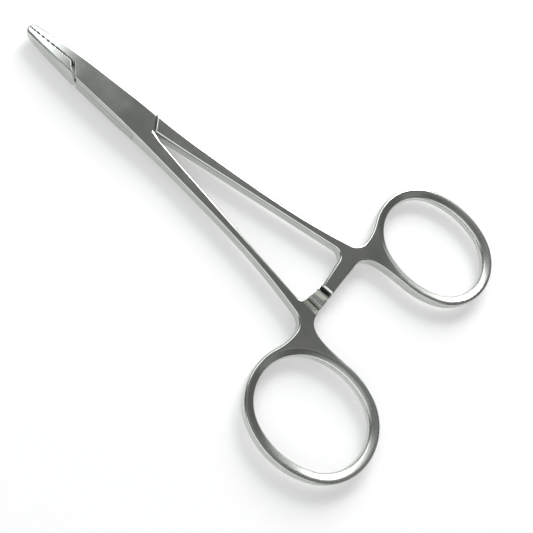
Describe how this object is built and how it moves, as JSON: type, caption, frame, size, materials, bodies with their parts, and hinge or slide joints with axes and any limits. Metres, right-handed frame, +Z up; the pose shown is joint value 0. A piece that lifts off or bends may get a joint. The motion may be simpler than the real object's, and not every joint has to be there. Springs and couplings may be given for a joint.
{
  "type": "surgical needle holder",
  "caption": "Steel needle holder with box-lock pivot, short serrated jaws, ratchet arms between the shanks and oval finger rings.",
  "frame": {"origin": "on the pivot's axis, at the underside of the box", "axes": "+X from the pivot to the jaw tips, +Y to the finger ring of the female half, +Z up, out of the face that the tool does not lie on"},
  "size_m": [0.1311, 0.0864, 0.0051],
  "materials": {
    "satin_steel": "satin ground stainless steel with polished edges"
  },
  "bodies": {
    "female_side": {"female_half": "satin_steel", "pivot_pin": "satin_steel"},
    "male_side": {"male_half": "satin_steel"}
  },
  "joints": [
    {"name": "box_lock", "type": "hinge", "parent": "female_side", "child": "male_side", "pos_m": [0, 0, 0], "axis": [0, 0, 1], "range_deg": [0, 45]}
  ]
}
